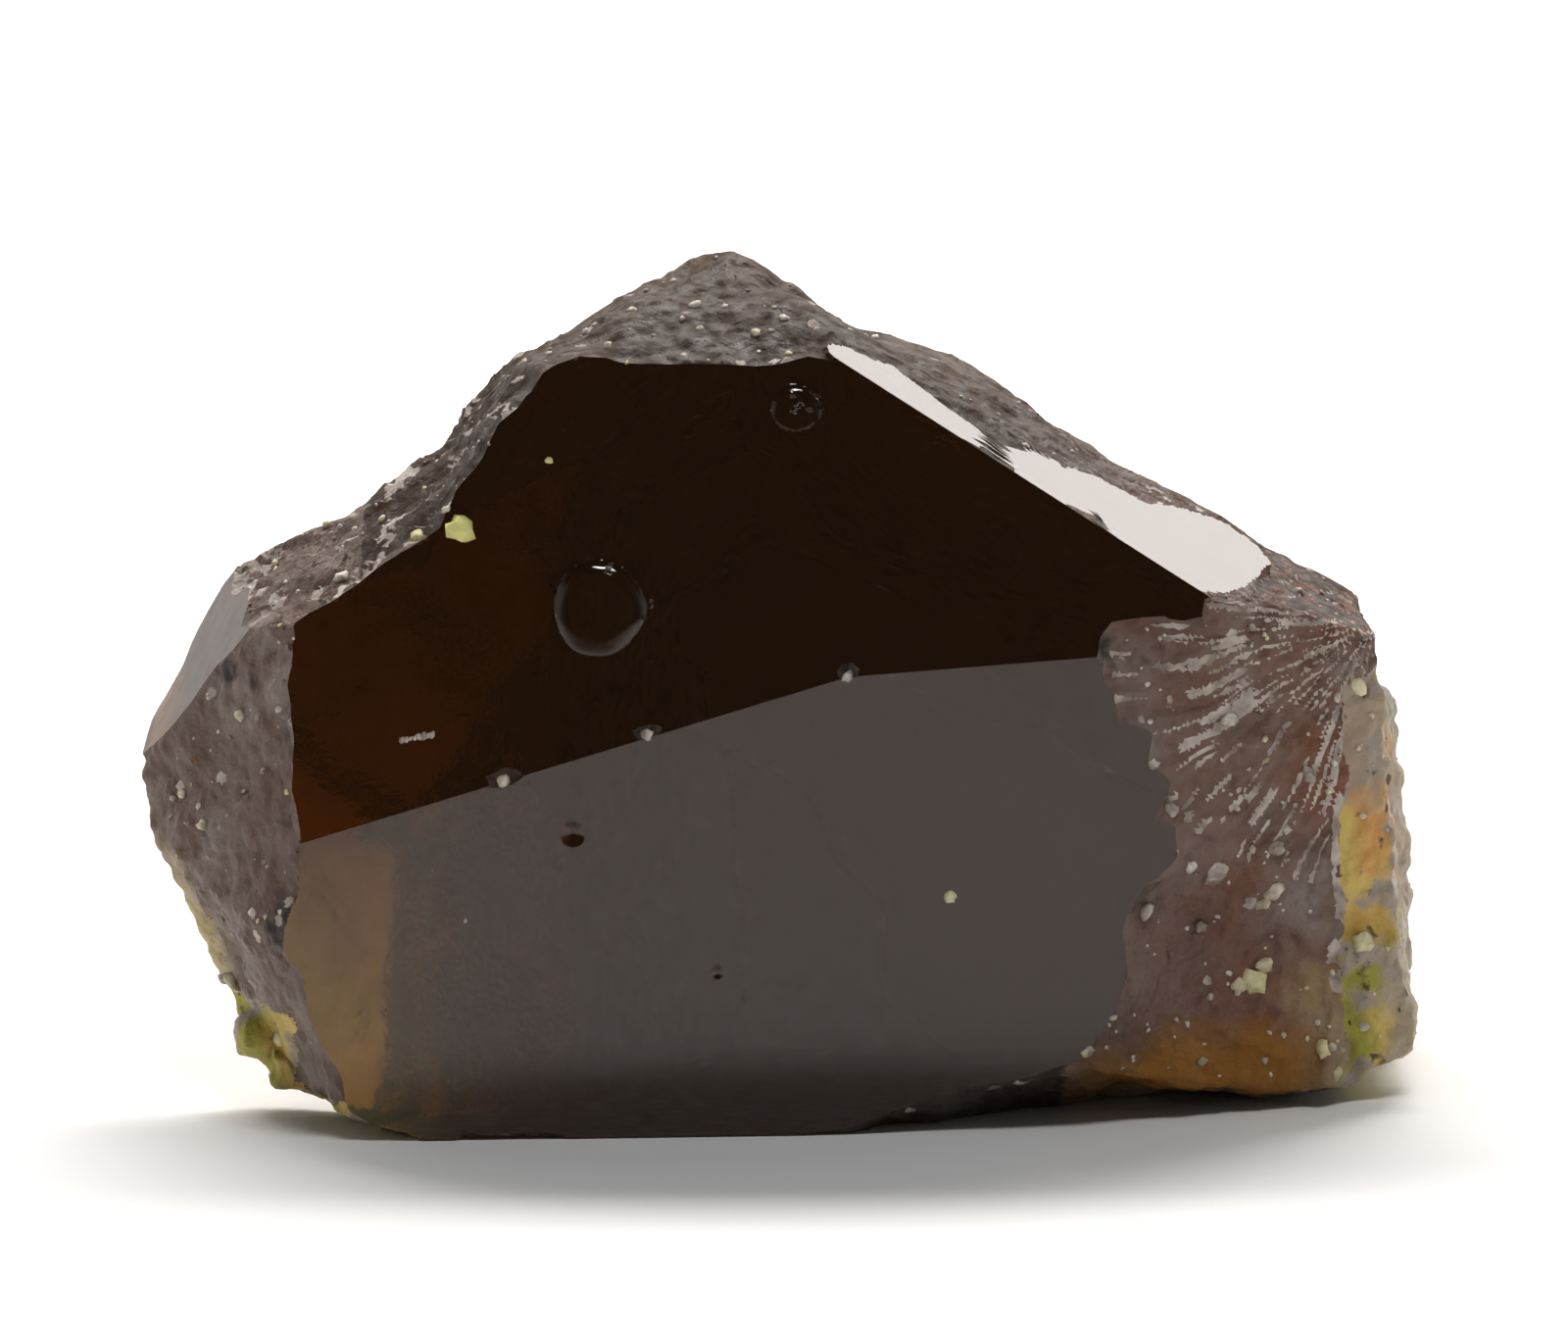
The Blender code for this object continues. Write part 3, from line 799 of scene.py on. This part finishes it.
def rind_and_painted_glow():
    """Rind: its own grey at the top and the outer rim, and below that a painted glow of light through the
    thin edge, orange, then yellow and green lower down.
    """
    material, tree, shader, place = start_material("rind_grey_and_painted_glow")
    parts = tree.node("ShaderNodeSeparateXYZ")
    tree.link(place, parts.inputs["Vector"])
    stain = tree.mottle(place, 620.0, 4.0, 0.42, 0.58)
    # Orange, yellow and green paint the glow of light through the thin rind edge; the grey and the dark
    # specks are the rind's own
    warm = tree.mix(stain, RIND_YELLOW_GLOW, RIND_ORANGE_GLOW)
    green = tree.mix(stain, RIND_YELLOW_GLOW, RIND_GREEN_GLOW)
    patched = tree.mix(tree.across(parts.outputs["Z"], RIND_GREEN_GLOW_HEIGHT), warm, green)
    patched = tree.mix(tree.mottle(place, 1100.0, 5.0, 0.52, 0.60), patched, RIND_GREY)
    rim = tree.across(tree.swayed(parts.outputs["X"], place, 0.6), RIND_GREY_ALONG, RIND_GREY_COVER)
    patched = tree.mix(rim, patched, RIND_GREY)
    top = tree.across(tree.swayed(parts.outputs["Z"], place, 1.6), RIND_GREY_HEIGHT, RIND_GREY_COVER)
    patched = tree.mix(top, patched, RIND_GREY)
    specks = tree.mottle(place, 1900.0, 3.0, 0.36, 0.30)
    tree.link(tree.mix(specks, patched, RIND_DARK), shader.inputs["Base Color"])
    tree.link(tree.spread(stain, 0.0, 1.0, 0.32, 0.6), shader.inputs["Roughness"])
    tree.bump(tree.noise(place, 3200.0, 7.0), RIND_GRAIN, 0.9, shader)
    return material


def crushed_crust_and_painted_glints():
    """Whitish crust where the surface is crushed, and painted highlight streaks on the hackle zone."""
    material, tree, shader, place = start_material("crushed_crust_and_painted_glints")
    patches = tree.mottle(place, 2200.0, 5.0, 0.36, 0.62)
    tree.link(tree.mix(patches, CRUSHED_GREY, CRUSHED_AND_GLINT_WHITE), shader.inputs["Base Color"])
    tree.link(tree.spread(patches, 0.0, 1.0, 0.5, 0.75), shader.inputs["Roughness"])
    tree.bump(tree.noise(place, 5200.0, 6.0), CRUSHED_GRAIN, 0.8, shader)
    return material


def dull_break():
    """Dull brown breaks: mottled grey and redder to the right, with a painted amber glow low down there and
    a painted cream glow at the thin left end.
    """
    material, tree, shader, place = start_material("dull_brown_break")
    parts = tree.node("ShaderNodeSeparateXYZ")
    tree.link(place, parts.inputs["Vector"])
    mottle = tree.mottle(place, 1300.0, 7.0, 0.40, 0.62)
    broad = tree.mottle(place, 330.0, 3.0, 0.40, 0.60)
    redness = tree.product(tree.across(parts.outputs["X"], RED_ALONG), broad)
    ground = tree.mix(redness, BREAK_BROWN, BREAK_RED)
    colour = tree.mix(mottle, ground, tree.mix(broad, BREAK_GREY, ground))
    colour = tree.mix(tree.mottle(place, 800.0, 5.0, 0.40, 0.32), colour, BREAK_DARK)
    # Painted amber glow of light through the thin wedge low under the right side
    low = tree.across(tree.swayed(parts.outputs["Z"], place, 0.8), AMBER_GLOW_HEIGHT)
    amber = tree.product(low, tree.across(parts.outputs["X"], AMBER_GLOW_LEFT))
    amber = tree.product(amber, tree.across(parts.outputs["X"], AMBER_GLOW_RIGHT))
    colour = tree.mix(amber, colour, AMBER_GLOW)
    # Painted cream glow of light through the thin left end
    thin = tree.product(tree.across(parts.outputs["Z"], CREAM_GLOW_HEIGHT),
                        tree.across(tree.swayed(parts.outputs["Y"], place, 0.6), CREAM_GLOW_DEPTH))
    tree.link(tree.mix(thin, colour, CREAM_GLOW), shader.inputs["Base Color"])
    tree.link(tree.spread(mottle, 0.0, 1.0, 0.35, 0.65), shader.inputs["Roughness"])
    tree.bump(tree.noise(place, 3400.0, 8.0), BREAK_GRAIN, 0.9, shader)
    return material


def pale_grain():
    """White to yellow crumbs."""
    material, tree, shader, place = start_material("pale_crumbs")
    patches = tree.mottle(place, 2600.0, 4.0, 0.36, 0.60)
    white = tree.mix(patches, CRUSHED_GREY, GRAIN_WHITE)
    tree.link(tree.mix(tree.attribute("yellowness"), white, GRAIN_YELLOW), shader.inputs["Base Color"])
    tree.link(tree.spread(patches, 0.0, 1.0, 0.35, 0.6), shader.inputs["Roughness"])
    tree.bump(tree.noise(place, 6000.0, 4.0), CRUMB_GRAIN, 0.7, shader)
    return material


def pale_sheet():
    """The floor under the stone."""
    material, _, shader, _ = start_material("pale_paper")
    shader.inputs["Base Color"].default_value = SHEET_COLOUR
    shader.inputs["Roughness"].default_value = SHEET_ROUGHNESS
    shader.inputs["Specular IOR Level"].default_value = 0.0
    bm = bmesh.new()
    bmesh.ops.create_grid(bm, x_segments=1, y_segments=1, size=SHEET_REACH)
    sheet = new_piece("pale_sheet", bm, [material])
    sheet.location = (0.0, 0.0, -SHEET_GAP * MM)


def lamp(name, toward, distance, size, radiance, colour):
    """A soft box that faces the stone."""
    light = bpy.data.lights.new(name, "AREA")
    light.shape = "RECTANGLE"
    light.size, light.size_y = size
    light.energy = radiance * math.pi * light.size * light.size_y
    light.color = colour
    box = bpy.data.objects.new(name, light)
    toward = Vector(toward).normalized()
    box.location = toward * distance
    box.rotation_mode = "QUATERNION"
    box.rotation_quaternion = toward.to_track_quat("Z", "Y")
    bpy.context.scene.collection.objects.link(box)


def rise(tree, value, start, end, height):
    """0 up to start, height from end on, and a smooth rise between them."""
    made = tree.node("ShaderNodeMapRange", interpolation_type="SMOOTHSTEP")
    made.inputs["From Min"].default_value = start
    made.inputs["From Max"].default_value = end
    made.inputs["To Max"].default_value = height
    tree.link(value, made.inputs["Value"])
    return made.outputs["Result"]


def room_light():
    """Bright wall behind the stone and dimmer walls at its sides, in an otherwise dark room.

    The camera sees plain white in their place.
    """
    world = bpy.data.worlds.new("studio")
    bpy.context.scene.world = world
    world.use_nodes = True
    tree = Tree(world.node_tree)
    walls_light = world.node_tree.nodes["Background"]
    output = world.node_tree.nodes["World Output"]
    direction = tree.node("ShaderNodeTexCoord")
    parts = tree.node("ShaderNodeSeparateXYZ")
    tree.link(direction.outputs["Generated"], parts.inputs["Vector"])
    behind = rise(tree, parts.outputs["Y"], *WALL_BEHIND, BACKDROP)
    below = tree.math("SUBTRACT", 1.0, rise(tree, parts.outputs["Z"], *WALL_BEHIND_TOP, 1.0))
    wall = tree.product(behind, below)
    side = rise(tree, tree.math("ABSOLUTE", parts.outputs["X"]), *WALL_SIDE, SIDES)
    low = tree.math("SUBTRACT", 1.0, rise(tree, parts.outputs["Z"], *WALL_SIDE_TOP, 1.0))
    walls = tree.math("MAXIMUM", wall, tree.product(side, low))
    tree.link(tree.math("ADD", walls, ROOM), walls_light.inputs["Strength"])
    seen = tree.node("ShaderNodeBackground")
    ray = tree.node("ShaderNodeLightPath")
    choice = tree.node("ShaderNodeMixShader")
    tree.link(ray.outputs["Is Camera Ray"], choice.inputs["Fac"])
    tree.link(walls_light.outputs["Background"], choice.inputs[1])
    tree.link(seen.outputs["Background"], choice.inputs[2])
    tree.link(choice.outputs["Shader"], output.inputs["Surface"])
    walls_light.inputs["Color"].default_value = WALL_COLOUR
    seen.inputs["Color"].default_value = SEEN_BACKDROP


def studio_light():
    """The light of the room, and the soft boxes over the stone."""
    room_light()
    for name, settings in LAMPS.items():
        lamp(name, *settings)


def add_camera():
    """Camera in front of the stone, a little above it."""
    camera = bpy.data.objects.new("camera", bpy.data.cameras.new("camera"))
    looking = Vector((0.0, math.cos(ELEVATION), -math.sin(ELEVATION)))
    camera.location = (CAMERA_TARGET - looking * CAMERA_DISTANCE) * MM
    camera.rotation_mode = "QUATERNION"
    camera.rotation_quaternion = looking.to_track_quat("-Z", "Y")
    camera.data.sensor_width = SENSOR_WIDTH
    camera.data.lens = LENS
    camera.data.clip_start, camera.data.clip_end = CLIPPING
    bpy.context.scene.collection.objects.link(camera)
    bpy.context.scene.camera = camera


def set_picture():
    """Plain colours, and enough bounces for light to cross the stone."""
    scene = bpy.context.scene
    scene.view_settings.view_transform = "Standard"
    scene.view_settings.gamma = CONTRAST
    scene.cycles.max_bounces = 24
    scene.cycles.transmission_bounces = 20
    scene.cycles.glossy_bounces = 12
    scene.cycles.sample_clamp_indirect = 6.0


add_camera()
stone = new_piece("garnet_stone", shape_stone(),
                  [glassy_garnet(), rind_and_painted_glow(), crushed_crust_and_painted_glints(), dull_break()])
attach(stone, "root")
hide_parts("garnet")
crumbs = new_piece("pale_grains", shape_grains(stone), [pale_grain()])
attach(crumbs, "root")
pale_sheet()
studio_light()
set_picture()
